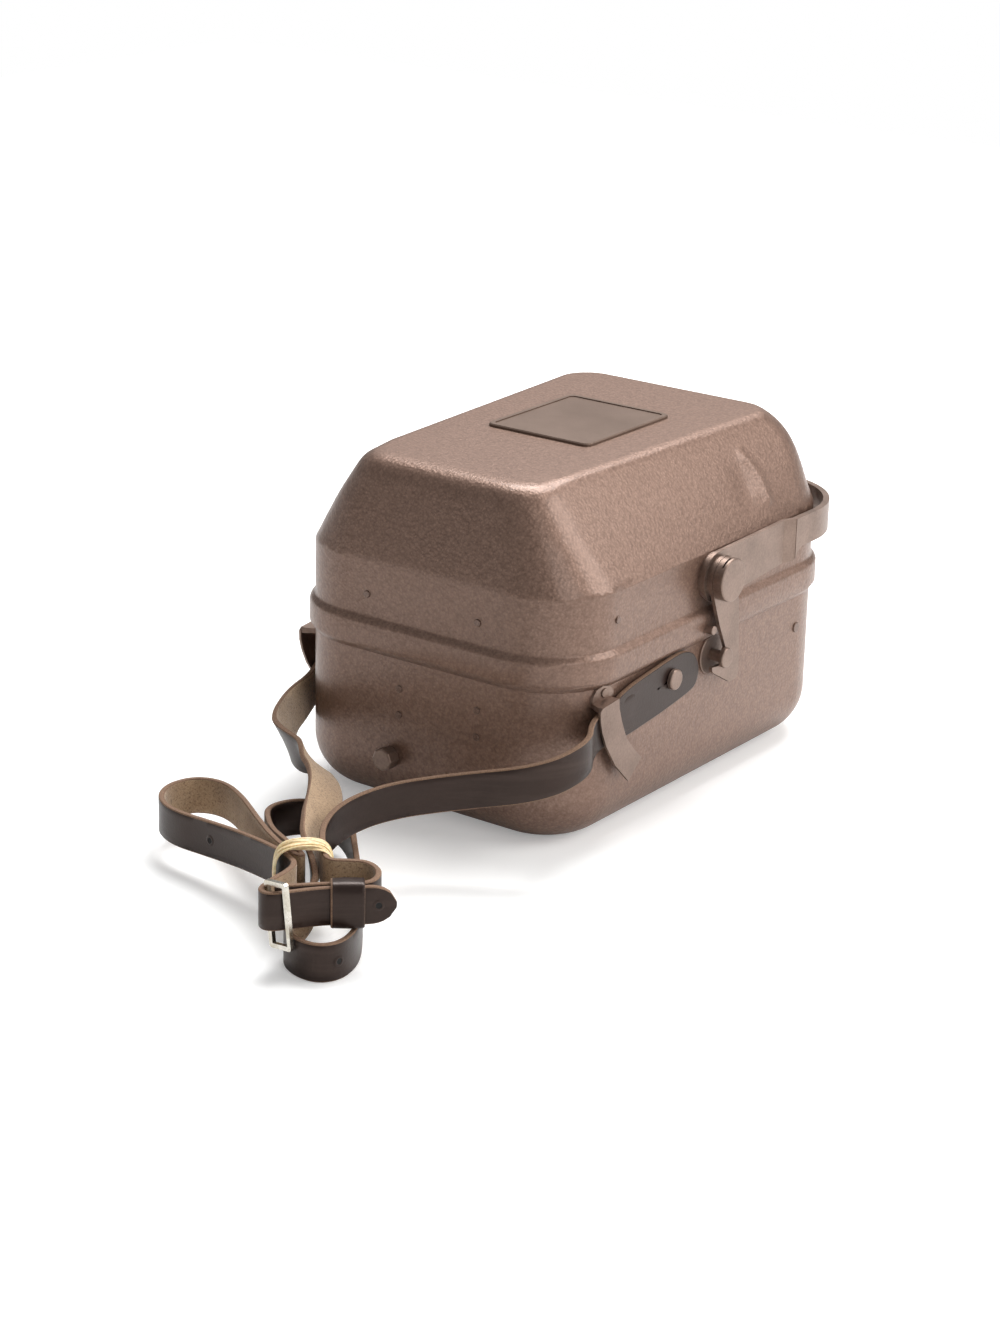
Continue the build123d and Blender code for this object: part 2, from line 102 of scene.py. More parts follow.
# The surroundings light the case softly, and the camera sees them as pure white.
world = bpy.data.worlds.new("world")
bpy.context.scene.world = world
world.use_nodes = True
world_tree = world.node_tree
world_tree.nodes.clear()
world_out = world_tree.nodes.new("ShaderNodeOutputWorld")
world_path = world_tree.nodes.new("ShaderNodeLightPath")
world_mix = world_tree.nodes.new("ShaderNodeMixShader")
world_tree.links.new(world_path.outputs["Is Camera Ray"], world_mix.inputs[0])
for socket, strength in ((1, WORLD_LIGHT), (2, WORLD_SEEN)):
    background = world_tree.nodes.new("ShaderNodeBackground")
    background.inputs["Color"].default_value = WHITE
    background.inputs["Strength"].default_value = strength
    world_tree.links.new(background.outputs[0], world_mix.inputs[socket])
world_tree.links.new(world_mix.outputs[0], world_out.inputs[0])


# ---- materials ----


class Shader:
    """A material with one Principled shader, and short ways to wire nodes into it."""

    def __init__(self, name):
        self.mat = bpy.data.materials.new(name)
        self.mat.use_nodes = True
        self.tree = self.mat.node_tree
        self.bsdf = self.tree.nodes["Principled BSDF"]
        self.coord = self.tree.nodes.new("ShaderNodeTexCoord").outputs["Object"]

    def set(self, **values):
        """Fixed values of the Principled shader, with _ for each space in an input's name."""
        for key, value in values.items():
            self.bsdf.inputs[key.replace("_", " ")].default_value = value

    def node(self, kind, **values):
        """A new node, with values for its inputs and, for other names, its settings."""
        n = self.tree.nodes.new("ShaderNode" + kind)
        for key, value in values.items():
            if key in n.inputs:
                n.inputs[key].default_value = value
            else:
                setattr(n, key, value)
        return n

    def wire(self, output, socket):
        self.tree.links.new(output, socket)

    def feed(self, value, socket):
        """Give the socket a number or a colour, or wire another node's output to it."""
        if isinstance(value, (float, int)):
            socket.default_value = value
        elif isinstance(value, tuple):
            socket.default_value = (*value, 1)
        else:
            self.wire(value, socket)

    def noise(self, scale, detail=4.0, rough=0.55, stretch=None):
        """Cloudy noise, from 0 to 1. stretch scales it unevenly along the axes."""
        n = self.node("TexNoise", Scale=scale, Detail=detail, Roughness=rough)
        place = self.coord
        if stretch is not None:
            mapping = self.node("Mapping", Scale=stretch)
            self.wire(self.coord, mapping.inputs["Vector"])
            place = mapping.outputs["Vector"]
        self.wire(place, n.inputs["Vector"])
        return n.outputs["Fac"]

    def cells(self, scale, feature, **values):
        """Distance from the middle of the nearest of many small cells."""
        n = self.node("TexVoronoi", feature=feature, Scale=scale)
        for key, value in values.items():
            n.inputs[key].default_value = value
        self.wire(self.coord, n.inputs["Vector"])
        return n.outputs["Distance"]

    def ramp(self, fac, *stops):
        """Colour that changes with fac between the stops, each a position and a colour."""
        n = self.node("ValToRGB")
        for element, (position, color) in zip(n.color_ramp.elements, stops):
            element.position = position
            element.color = (*color, 1)
        self.wire(fac, n.inputs["Fac"])
        return n.outputs["Color"]

    def mix(self, fac, a, b):
        """Colour a where fac is 0 and b where it is 1."""
        n = self.node("Mix", data_type="RGBA", blend_type="MIX")
        for value, socket in ((fac, n.inputs[0]), (a, n.inputs[6]), (b, n.inputs[7])):
            self.feed(value, socket)
        return n.outputs[2]

    def times(self, a, b):
        n = self.node("Math", operation="MULTIPLY")
        self.feed(a, n.inputs[0])
        self.feed(b, n.inputs[1])
        return n.outputs[0]

    def color(self, output):
        self.wire(output, self.bsdf.inputs["Base Color"])

    def rough(self, output, low, high):
        """Roughness from low to high, as the output goes from 0 to 1."""
        n = self.node("MapRange", **{"To Min": low, "To Max": high})
        self.wire(output, n.inputs["Value"])
        self.wire(n.outputs[0], self.bsdf.inputs["Roughness"])

    def bump(self, *layers):
        """Bumps on bumps: each layer is a height, its distance in metres and its strength."""
        normal = None
        for height, distance, strength in layers:
            n = self.node("Bump", Distance=distance, Strength=strength)
            self.wire(height, n.inputs["Height"])
            if normal is not None:
                self.wire(normal, n.inputs["Normal"])
            normal = n.outputs["Normal"]
        self.wire(normal, self.bsdf.inputs["Normal"])


def hammered_enamel():
    """Brown enamel with a fine hammered surface, on the box and the lid."""
    s = Shader("hammered_enamel")
    cells = s.cells(720.0, "SMOOTH_F1", Smoothness=0.7)
    fine = s.noise(1300.0, 2.0)
    patch = s.noise(380.0, 2.0)
    broad = s.noise(14.0, 3.0)
    dark = (0.125, 0.070, 0.048)
    pale = (0.285, 0.180, 0.135)
    base = s.ramp(cells, (0.12, pale), (0.60, dark))
    base = s.mix(0.4, base, s.ramp(patch, (0.36, dark), (0.64, pale)))
    base = s.mix(s.times(broad, 0.5), base, (0.225, 0.135, 0.098))
    base = s.mix(0.35, base, s.ramp(fine, (0.3, dark), (0.75, pale)))
    s.color(base)
    s.set(Metallic=0.55, Coat_Weight=0.3, Coat_Roughness=0.24)
    s.rough(fine, 0.38, 0.54)
    s.bump((s.times(cells, -1.0), 0.0005, 0.32), (patch, 0.0006, 0.22))
    return s.mat


def shade_darkened_rivet():
    """Rivet heads under the same enamel and smoother, painted a little darker as shade on their
    domes.
    """
    s = Shader("shade_darkened_rivet")
    fine = s.noise(1500.0, 3.0)
    # A little darker than the enamel: painted shade, so the domes show.
    s.color(s.ramp(fine, (0.3, (0.095, 0.054, 0.038)), (0.8, (0.215, 0.135, 0.102))))
    s.set(Metallic=0.5, Coat_Weight=0.4, Coat_Roughness=0.2)
    s.rough(fine, 0.30, 0.46)
    s.bump((fine, 0.0001, 0.25))
    return s.mat


def brown_hardware():
    """Brown painted steel of the handle, hooks, studs and keepers."""
    s = Shader("brown_hardware")
    fine = s.noise(900.0, 3.0)
    broad = s.noise(60.0, 4.0)
    base = s.ramp(broad, (0.3, (0.17, 0.115, 0.09)), (0.75, (0.30, 0.215, 0.175)))
    grain = s.ramp(fine, (0.3, (0.13, 0.09, 0.07)), (0.8, (0.33, 0.25, 0.21)))
    s.color(s.mix(0.3, base, grain))
    s.set(Metallic=0.75)
    s.rough(broad, 0.30, 0.48)
    s.bump((fine, 0.0001, 0.3))
    return s.mat


def dark_steel():
    """Blackened steel of the pieces inside."""
    s = Shader("dark_steel")
    fine = s.noise(700.0, 4.0)
    s.color(s.ramp(fine, (0.3, (0.05, 0.04, 0.035)), (0.8, (0.16, 0.13, 0.11))))
    s.set(Metallic=0.85)
    s.rough(fine, 0.3, 0.5)
    s.bump((fine, 0.0001, 0.25))
    return s.mat


def worn_nickel():
    """Bright nickel of the buckle, with yellowed patches."""
    s = Shader("nickel")
    fine = s.noise(800.0, 5.0)
    broad = s.noise(160.0, 4.0)
    base = s.ramp(broad, (0.35, (0.50, 0.46, 0.38)), (0.62, (0.74, 0.71, 0.65)))
    grain = s.ramp(fine, (0.35, (0.30, 0.26, 0.20)), (0.6, (0.74, 0.71, 0.65)))
    s.color(s.mix(0.2, base, grain))
    s.set(Metallic=1.0)
    s.rough(broad, 0.16, 0.36)
    s.bump((fine, 0.00006, 0.2))
    return s.mat


def bare_plate():
    """Satin brown metal of the plate on the lid."""
    s = Shader("plate_finish")
    fine = s.noise(1300.0, 3.0)
    broad = s.noise(30.0, 4.0)
    base = s.ramp(broad, (0.3, (0.13, 0.085, 0.062)), (0.75, (0.19, 0.13, 0.10)))
    grain = s.ramp(fine, (0.3, (0.09, 0.06, 0.045)), (0.8, (0.22, 0.16, 0.13)))
    s.color(s.mix(0.2, base, grain))
    s.set(Metallic=0.6)
    s.rough(fine, 0.38, 0.5)
    s.bump((fine, 0.00008, 0.25))
    return s.mat


def strap_grain():
    """Dark, polished outer face of the straps, with pores and paler streaks of wear."""
    s = Shader("strap_grain")
    pores = s.cells(1500.0, "F1")
    fine = s.noise(600.0, 5.0)
    broad = s.noise(35.0, 4.0)
    streak = s.noise(45.0, 5.0, 0.6, (0.25, 0.25, 3.0))
    base = s.ramp(broad, (0.3, (0.010, 0.0055, 0.0045)), (0.8, (0.024, 0.0145, 0.012)))
    worn = s.ramp(streak, (0.52, (0, 0, 0)), (0.72, (0.5, 0.5, 0.5)))
    base = s.mix(worn, base, (0.050, 0.034, 0.028))
    s.color(s.mix(s.times(fine, 0.2), base, (0.045, 0.029, 0.024)))
    s.set(Specular_IOR_Level=0.36, Specular_Tint=(1.0, 0.80, 0.72, 1))
    s.rough(s.mix(0.5, fine, streak), 0.24, 0.46)
    s.bump((pores, 0.0002, 0.12), (fine, 0.0003, 0.12), (streak, 0.0008, 0.1))
    return s.mat


def strap_flesh():
    """Tan, fibrous inner face of the straps, with dark specks."""
    s = Shader("strap_flesh")
    fine = s.noise(1400.0, 6.0, 0.7)
    broad = s.noise(70.0, 5.0)
    specks = s.ramp(s.noise(900.0, 3.0, 0.7), (0.53, (0, 0, 0)), (0.64, (1, 1, 1)))
    base = s.ramp(broad, (0.3, (0.29, 0.185, 0.105)), (0.75, (0.48, 0.335, 0.205)))
    fibres = s.ramp(fine, (0.3, (0.18, 0.11, 0.06)), (0.75, (0.56, 0.40, 0.255)))
    base = s.mix(0.5, base, fibres)
    s.color(s.mix(s.times(specks, 0.6), base, (0.075, 0.045, 0.027)))
    s.set(Roughness=0.95, Sheen_Weight=0.25)
    s.bump((fine, 0.0005, 0.5))
    return s.mat


def strap_edge():
    """Cut edges of the straps, brown and fibrous."""
    s = Shader("strap_edge")
    fine = s.noise(1800.0, 6.0, 0.7)
    s.color(s.ramp(fine, (0.3, (0.10, 0.055, 0.035)), (0.75, (0.30, 0.18, 0.11))))
    s.set(Roughness=0.85)
    s.bump((fine, 0.0003, 0.5))
    return s.mat


def band_rubber():
    """Yellowed rubber that lets a little light through."""
    s = Shader("band_rubber")
    fine = s.noise(900.0, 4.0)
    s.color(s.ramp(fine, (0.3, (0.66, 0.48, 0.25)), (0.75, (0.86, 0.72, 0.45))))
    s.set(Roughness=0.42, Subsurface_Weight=0.25, Subsurface_Radius=(0.002, 0.001, 0.0005))
    s.bump((fine, 0.0001, 0.3))
    return s.mat


def felt():
    """Near-black felt of the pads inside."""
    s = Shader("felt")
    fine = s.noise(1500.0, 6.0, 0.7)
    s.color(s.ramp(fine, (0.3, (0.02, 0.018, 0.018)), (0.75, (0.06, 0.055, 0.055))))
    s.set(Roughness=1.0, Sheen_Weight=0.4)
    s.bump((fine, 0.0006, 0.6))
    return s.mat


def seal_rubber():
    """Matt black rubber of the lid's seal."""
    s = Shader("seal_rubber")
    fine = s.noise(900.0, 3.0)
    s.color(s.ramp(fine, (0.3, (0.015, 0.015, 0.015)), (0.8, (0.035, 0.034, 0.033))))
    s.set(Roughness=0.75)
    s.bump((fine, 0.0001, 0.3))
    return s.mat


def hole_painted_shade():
    """Near-black disc of painted shade for the inside of a hole punched in the strap."""
    s = Shader("hole_painted_shade")
    fine = s.noise(1500.0, 3.0)
    s.color(s.ramp(fine, (0.3, (0.002, 0.0015, 0.001)), (0.8, (0.008, 0.006, 0.005))))
    s.set(Roughness=0.8)
    return s.mat


ENAMEL = hammered_enamel()
SHADE_DARKENED_RIVET = shade_darkened_rivet()
HARDWARE = brown_hardware()
STEEL = dark_steel()
NICKEL = worn_nickel()
PLATE = bare_plate()
GRAIN = strap_grain()
FLESH = strap_flesh()
EDGE = strap_edge()
BAND = band_rubber()
FELT = felt()
SEAL = seal_rubber()
HOLE_SHADE = hole_painted_shade()

# The leather pieces carry these three, in this order.
LEATHER = (GRAIN, EDGE, FLESH)
GRAIN_FACE, EDGE_FACE, FLESH_FACE = 0, 1, 2

# Every node that isn't named here is brown hardware.
FINISH_OF = {
    "body_shell": ENAMEL,
    "lid_shell": ENAMEL,
    "lid_seal": SEAL,
    "name_plate": PLATE,
    "lid_front_rivets": SHADE_DARKENED_RIVET,
    "lid_side_rivets": SHADE_DARKENED_RIVET,
    "bracket_rivets": SHADE_DARKENED_RIVET,
    "rear_rivets": SHADE_DARKENED_RIVET,
    "floor_pad": FELT,
    "lid_pad": FELT,
    "inner_brackets": STEEL,
    "lid_front_strip": STEEL,
    "lid_rivet_washers": STEEL,
    "rear_rivet_washers": STEEL,
    "buckle_frame": NICKEL,
}
for name, node in nodes.items():
    node.data.materials.clear()
    node.data.materials.append(FINISH_OF.get(name, HARDWARE))


# ---- mesh helpers ----


def mesh_object(name, bm, materials, smooth=math.radians(40)):
    """An object from the mesh, shaded smooth except at edges sharper than the angle smooth."""
    mesh = bpy.data.meshes.new(name)
    bm.normal_update()
    bm.to_mesh(mesh)
    bm.free()
    for material in materials:
        mesh.materials.append(material)
    mesh.shade_smooth()
    mesh.set_sharp_from_angle(angle=smooth)
    return link(bpy.data.objects.new(name, mesh))


def skin(bm, first, second):
    """The faces between two rings of points, in order round the rings."""
    n = len(first)
    return [
        bm.faces.new((first[k], first[(k + 1) % n], second[(k + 1) % n], second[k]))
        for k in range(n)
    ]


def closed(rings):
    """Each ring with the next one, and the last with the first."""
    return zip(rings, rings[1:] + rings[:1])


def upright(along):
    """The direction nearest to straight up that is square to along."""
    return (UPWARD - along * UPWARD.dot(along)).normalized()


def lengths_along(points):
    """How far along the line each of its points lies."""
    lengths = [0.0]
    for p, q in zip(points, points[1:]):
        lengths.append(lengths[-1] + (q - p).length)
    return lengths


def unit(value):
    """The value, held between 0 and 1."""
    return min(1, max(0, value))


# ---- straps ----

STRAP_WIDTH = 17.0 * MM
STRAP_THICK = 2.6 * MM
TIP_LENGTH = 0.011
WAVE_RATE = 90
WAVE_HEIGHT = 0.00012

# The straps' section: across the width and through the thickness, both as a part of the half,
# and the kind of face that starts at the point.
FLAT_STEPS = (-0.93, -0.62, -0.31, 0.0, 0.31, 0.62, 0.93)
STRAP_SECTION = (
    [(a, 1.0, GRAIN_FACE) for a in FLAT_STEPS]
    + [(0.985, 0.7, EDGE_FACE), (1.0, 0.0, EDGE_FACE), (0.985, -0.7, EDGE_FACE)]
    + [(-a, -1.0, FLESH_FACE) for a in FLAT_STEPS]
    + [(-0.985, -0.7, EDGE_FACE), (-1.0, 0.0, EDGE_FACE), (-0.985, 0.7, EDGE_FACE)]
)


def spline_points(name, route):
    """Points along the smooth curve that has the route's points, in mm, as its control points."""
    data = bpy.data.curves.new(name, "CURVE")
    data.dimensions = "3D"
    spline = data.splines.new("NURBS")
    spline.points.add(len(route) - 1)
    for point, (x, y, z) in zip(spline.points, route):
        point.co = (x * MM, y * MM, z * MM, 1)
    spline.order_u = 3
    spline.use_endpoint_u = True
    data.resolution_u = 10
    obj = bpy.data.objects.new(name, data)
    mesh = bpy.data.meshes.new_from_object(obj)
    points = [v.co.copy() for v in mesh.vertices]
    bpy.data.meshes.remove(mesh)
    bpy.data.objects.remove(obj)
    bpy.data.curves.remove(data)
    return points


def keyed(pairs, u):
    """The value at u between the pairs of position and value, eased at each of them."""
    if u <= pairs[0][0]:
        return pairs[0][1]
    for (u0, v0), (u1, v1) in zip(pairs, pairs[1:]):
        if u <= u1:
            t = (u - u0) / (u1 - u0)
            return v0 + (v1 - v0) * t * t * (3 - 2 * t)
    return pairs[-1][1]


def ribbon(name, route, rolls, grain_side, tip=False, turned=(0, 0)):
    """A leather strap along the route, with its width upright apart from the rolls.

    rolls are pairs of route position and angle in degrees. grain_side is 1 where the grain is
    on the left along the route and -1 on the right. tip rounds the strap's far end off. Between
    the two route positions of turned, the faces are the other way round.
    """
    points = spline_points(name + "_line", route)
    lengths = lengths_along(points)
    last = len(points) - 1
    half_width, half_thick = STRAP_WIDTH / 2, STRAP_THICK / 2
    bm = bmesh.new()
    rings = []
    for i, p in enumerate(points):
        along = (points[min(i + 1, last)] - points[max(i - 1, 0)]).normalized()
        lift = upright(along)
        side = lift.cross(along)
        roll = math.radians(keyed(rolls, i / last * (len(route) - 1)))
        turn = Matrix.Rotation(roll, 3, along)
        lift, side = turn @ lift, turn @ side * grain_side
        width = half_width
        left = lengths[-1] - lengths[i]
        if tip and left < TIP_LENGTH:
            width = half_width * math.sqrt(max(0.02, 1 - (1 - left / TIP_LENGTH) ** 2))
        ring = []
        for a, b, _ in STRAP_SECTION:
            wave = noise.noise(Vector((lengths[i] * WAVE_RATE, a * 1.3, 3.1))) * WAVE_HEIGHT
            ring.append(bm.verts.new(p + lift * a * width + side * (b * half_thick + wave)))
        rings.append(ring)
    kinds = [kind for _, _, kind in STRAP_SECTION]
    for i, (first, second) in enumerate(zip(rings, rings[1:])):
        swap = turned[0] < i / last * (len(route) - 1) < turned[1]
        for face, here, after in zip(skin(bm, first, second), kinds, kinds[1:] + kinds[:1]):
            if EDGE_FACE in (here, after):
                face.material_index = EDGE_FACE
            else:
                face.material_index = FLESH_FACE - here if swap else here
    bm.faces.new(list(reversed(rings[0]))).material_index = EDGE_FACE
    bm.faces.new(rings[-1]).material_index = EDGE_FACE
    bmesh.ops.recalc_face_normals(bm, faces=bm.faces)
    return mesh_object(name, bm, LEATHER), points, lengths[-1]


# Where the tabs lie, in mm: how far out, the stud's middle, and by side, 1 for right and -1 for
# left, how many degrees the tab hangs from level and how much its neck sags.
WALL = 80.0
TAB_SEAT = 1.5
TAB_HALF_THICK = 1.3
TAB_LINE = WALL + TAB_SEAT + TAB_HALF_THICK
TAB_OFFSET = -1.3
STUD_Y, STUD_Z = -37.5, 66.6
SWING = {1: 8.0, -1: 18.0}
SAG = {1: 0.0, -1: 0.0044}
SAG_START = -8


def from_stud(side, along, across=TAB_OFFSET):
    """A point of the tab, in mm: along it from the stud, negative to the front, and across it."""
    turn = math.radians(SWING[side])
    sag = SAG[side] * max(0, SAG_START - along) ** 2
    y = STUD_Y + along * math.cos(turn) - across * math.sin(turn)
    z = STUD_Z + along * math.sin(turn) + across * math.cos(turn) - sag
    return (side * TAB_LINE, y, z)


right_route = [
    from_stud(1, -30),
    from_stud(1, -48, TAB_OFFSET - 0.1),
    from_stud(1, -63),
    (92.6, -115.5, 53.5),
    (83.5, -137.0, 46.5),
    (50.0, -157.0, 40.5),
    (29.0, -177.5, 37.0),
    (22.0, -199.0, 33.5),
    (26.0, -217.0, 30.0),
    (39.5, -232.5, 28.0),
    (47.0, -239.0, 27.5),
    (54.5, -233.8, 27.5),
    (61.5, -230.0, 27.6),
    (70.5, -233.5, 27.6),
    (75.4, -242.0, 27.6),
    (73.6, -248.5, 27.6),
    (62.6, -257.2, 27.6),
    (54.0, -266.6, 27.6),
    (47.6, -273.2, 27.6),
]

left_route = [
    from_stud(-1, -23),
    from_stud(-1, -36),
    from_stud(-1, -48),
    (-80.5, -96.0, 38.0),
    (-76.0, -110.0, 37.4),
    (-69.0, -126.0, 37.2),
    (-58.0, -143.0, 37.0),
    (-41.0, -156.0, 37.0),
    (-22.5, -162.3, 37.0),
    (-6.5, -174.0, 36.2),
    (7.5, -192.5, 34.5),
    (17.5, -212.0, 31.5),
    (35.7, -234.7, 25.0),
    (42.5, -241.0, 19.0),
    (45.4, -251.0, 13.0),
    (45.0, -262.0, 9.0),
    (51.5, -271.0, 8.6),
    (61.5, -275.5, 8.6),
    (72.0, -274.5, 8.6),
    (76.6, -265.5, 8.6),
    (72.5, -250.5, 8.6),
    (59.0, -231.5, 9.0),
    (42.0, -212.0, 11.0),
    (26.0, -194.0, 13.0),
    (9.0, -176.0, 14.0),
    (-10.0, -165.0, 14.0),
    (-25.0, -172.0, 14.5),
    (-27.0, -189.0, 16.0),
    (-16.0, -203.0, 18.5),
    (-1.0, -217.5, 22.0),
    (14.0, -228.0, 25.0),
    (34.6, -238.2, 26.0),
    (33.2, -241.2, 26.0),
    (11.0, -231.2, 25.5),
    (-13.0, -213.6, 23.0),
    (-40.0, -193.0, 20.0),
    (-58.0, -184.5, 18.5),
    (-71.5, -187.5, 17.7),
    (-75.5, -201.0, 17.5),
    (-68.5, -214.5, 17.5),
    (-54.0, -222.0, 17.7),
    (-31.0, -223.4, 18.7),
    (-8.0, -228.8, 21.5),
    (11.0, -235.2, 24.0),
    (27.0, -242.4, 26.5),
    (38.0, -248.0, 27.0),
    (41.4, -258.0, 27.3),
    (42.2, -268.5, 27.6),
    (44.3, -279.5, 27.6),
    (51.0, -281.0, 27.6),
    (58.0, -269.6, 27.6),
    (66.0, -259.6, 27.6),
    (76.0, -251.4, 27.6),
    (85.0, -241.0, 27.3),
]

strap_right, right_line, right_length = ribbon("strap_right_leather", right_route, [(0, 0)], 1)
strap_left, left_line, left_length = ribbon(
    "strap_left_leather",
    left_route,
    [(0, 0), (2, 2), (4, 26), (5.4, 32), (6.9, 8), (7.9, 52), (9.6, 60), (10.8, 38), (12, 0)],
    -1,
    tip=True,
    turned=(22.6, 31.0),
)

# The tab's outline and its keyhole, in mm along and across the tab from the stud.
TAB_OUTLINE = (
    (-46.0, 8.0),
    (-32.0, 9.9),
    (-20.0, 9.8),
    (2.9, 9.5),
    (11.8, 8.4),
    (18.3, 4.7),
    (21.3, -0.6),
    (21.6, -5.7),
    (19.2, -10.4),
    (14.9, -12.3),
    (-8.3, -12.5),
    (-20.0, -12.2),
    (-36.0, -11.6),
    (-50.0, -9.9),
)
KEYHOLE_RADIUS = 3.0
KEYHOLE_SLIT = ((-12.0, -0.55), (-12.6, 0.0), (-12.0, 0.55))


def tab(name, side):
    """The wide end of the strap: a flat leather plate with a keyhole for the stud."""
    data = bpy.data.curves.new(name, "CURVE")
    data.dimensions = "2D"
    data.fill_mode = "BOTH"
    data.extrude = 0.9 * MM
    data.bevel_depth = 0.4 * MM
    data.bevel_resolution = 2
    keyhole = []
    for k in range(25):
        a = math.radians(-165 + 330 * k / 24)
        keyhole.append((KEYHOLE_RADIUS * math.cos(a), KEYHOLE_RADIUS * math.sin(a)))
    keyhole.extend(KEYHOLE_SLIT)
    for kind, line in (("NURBS", TAB_OUTLINE), ("POLY", keyhole)):
        spline = data.splines.new(kind)
        spline.points.add(len(line) - 1)
        for point, (along, across) in zip(spline.points, line):
            _, y, z = from_stud(side, along, across)
            point.co = (y * MM, z * MM, 0, 1)
        spline.use_cyclic_u = True
        if kind == "NURBS":
            spline.order_u = 3
    flat = bpy.data.objects.new(name, data)
    mesh = bpy.data.meshes.new_from_object(flat)
    bpy.data.objects.remove(flat)
    x = side * TAB_LINE * MM
    mesh.transform(Matrix(((0, 0, 1, x), (1, 0, 0, 0), (0, 1, 0, 0), (0, 0, 0, 1))))
    mesh.materials.clear()
    for material in LEATHER:
        mesh.materials.append(material)
    for face in mesh.polygons:
        out = face.normal.x * side
        if abs(out) > 0.6:
            face.material_index = GRAIN_FACE if out > 0 else FLESH_FACE
        else:
            face.material_index = EDGE_FACE
    return link(bpy.data.objects.new(name, mesh))


tab_right = tab("strap_right_tab", 1)
tab_left = tab("strap_left_tab", -1)
for piece in (strap_right, strap_left, tab_right, tab_left):
    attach(piece, "case")
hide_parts("strap_right")
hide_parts("strap_left")


# ---- rubber band, loop and holes ----

BAND_TURNS = 9
BAND_STEPS = 96
BAND_SIDES = 8
BAND_CENTER = Vector((33.2, -237.6, 24.6)) * MM
BAND_ACROSS = Vector((0.77, 0.64, 0)).normalized()
BAND_AXIS = Vector((0.64, -0.77, 0)).normalized()
BAND_HALF_WIDTH, BAND_HALF_HEIGHT = 12.2, 13.4
BAND_SPREAD = 9.2
CORD_HALF_THICK, CORD_HALF_WIDTH = 0.5, 0.95
LOWER_POWER = 4.5


def band_strands():
    """Several turns of one rubber band, each a flat cord on its own slightly wandering loop."""
    random.seed(7)
    bm = bmesh.new()
    for turn in range(BAND_TURNS):
        lean = random.uniform(-1.6, 1.6)
        phase = random.uniform(0, math.tau)
        shift = -BAND_SPREAD / 2 + BAND_SPREAD * turn / (BAND_TURNS - 1)
        swell = random.uniform(-0.6, 1.2)
        twist = random.uniform(0.5, 1.3)
        upper_power = random.uniform(2.5, 4.2)
        rings = []
        for k in range(BAND_STEPS):
            a = math.tau * k / BAND_STEPS
            c, s = math.cos(a), math.sin(a)
            power = upper_power if s > 0 else LOWER_POWER
            wide, high = abs(c / BAND_HALF_WIDTH), abs(s / BAND_HALF_HEIGHT)
            r = (wide**power + high**power) ** (-1 / power) + swell * s * s
            gather = 0.62 + 0.38 * max(0.0, s) ** 2
            along = shift * gather + lean * math.sin(a + phase) + 0.5 * math.sin(3 * a + phase)
            p = BAND_CENTER + (BAND_ACROSS * r * c + UPWARD * r * s + BAND_AXIS * along) * MM
            out = (BAND_ACROSS * c + UPWARD * s).normalized()
            roll = twist * math.sin(2 * a + phase)
            u = out * math.cos(roll) + BAND_AXIS * math.sin(roll)
            v = BAND_AXIS * math.cos(roll) - out * math.sin(roll)
            ring = []
            for j in range(BAND_SIDES):
                b = math.tau * j / BAND_SIDES
                offset = u * CORD_HALF_THICK * math.cos(b) + v * CORD_HALF_WIDTH * math.sin(b)
                ring.append(bm.verts.new(p + offset * MM))
            rings.append(ring)
        for first, second in closed(rings):
            skin(bm, first, second)
    bmesh.ops.recalc_face_normals(bm, faces=bm.faces)
    return mesh_object("rubber_band_strands", bm, [BAND])


band = band_strands()
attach(band, "case")
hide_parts("rubber_band")

LOOP_STEPS = 72
LOOP_CENTER = Vector((69.8, -253.7, 27.6)) * MM
LOOP_ACROSS = Vector((-0.634, 0.773, 0)).normalized()
LOOP_AXIS = Vector((0.773, 0.634, 0)).normalized()
LOOP_HALF_WIDTH, LOOP_HALF_HEIGHT = 4.35, 8.8
LOOP_POWER = 5
# The loop's section, in mm along its axis and out from its inner face, and the kinds of the
# faces that start at its points, where they aren't grain.
LOOP_SECTION = (
    (-7.0, 0.35),
    (-6.9, 0.95),
    (-6.2, 1.35),
    (-5.6, 1.28),
    (-3, 1.4),
    (0, 1.45),
    (3, 1.4),
    (5.6, 1.28),
    (6.2, 1.35),
    (6.9, 0.95),
    (7.0, 0.35),
    (6.6, 0.0),
    (-6.6, 0.0),
)
LOOP_KINDS = {0: EDGE_FACE, 1: EDGE_FACE, 9: EDGE_FACE, 10: EDGE_FACE, 11: FLESH_FACE}


def leather_loop():
    """The buckle's keeper loop: a closed leather band with soft corners and pale cut edges."""
    bm = bmesh.new()
    rings = []
    for k in range(LOOP_STEPS):
        a = math.tau * k / LOOP_STEPS
        c, s = math.cos(a), math.sin(a)
        wide, high = abs(c / LOOP_HALF_WIDTH), abs(s / LOOP_HALF_HEIGHT)
        r = (wide**LOOP_POWER + high**LOOP_POWER) ** (-1 / LOOP_POWER)
        out = (
            LOOP_ACROSS * math.copysign(wide ** (LOOP_POWER - 1), c) / LOOP_HALF_WIDTH
            + UPWARD * math.copysign(high ** (LOOP_POWER - 1), s) / LOOP_HALF_HEIGHT
        ).normalized()
        p = LOOP_CENTER + (LOOP_ACROSS * r * c + UPWARD * r * s) * MM
        rings.append([bm.verts.new(p + (LOOP_AXIS * u + out * h) * MM) for u, h in LOOP_SECTION])
    for first, second in closed(rings):
        for k, face in enumerate(skin(bm, first, second)):
            face.material_index = LOOP_KINDS.get(k, GRAIN_FACE)
    bmesh.ops.recalc_face_normals(bm, faces=bm.faces)
    return mesh_object("strap_loop_leather", bm, LEATHER)


loop = leather_loop()
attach(loop, "case")
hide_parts("strap_loop")

HOLE_PLACES = (302, 741, 893)
HOLE_SIDES = 24
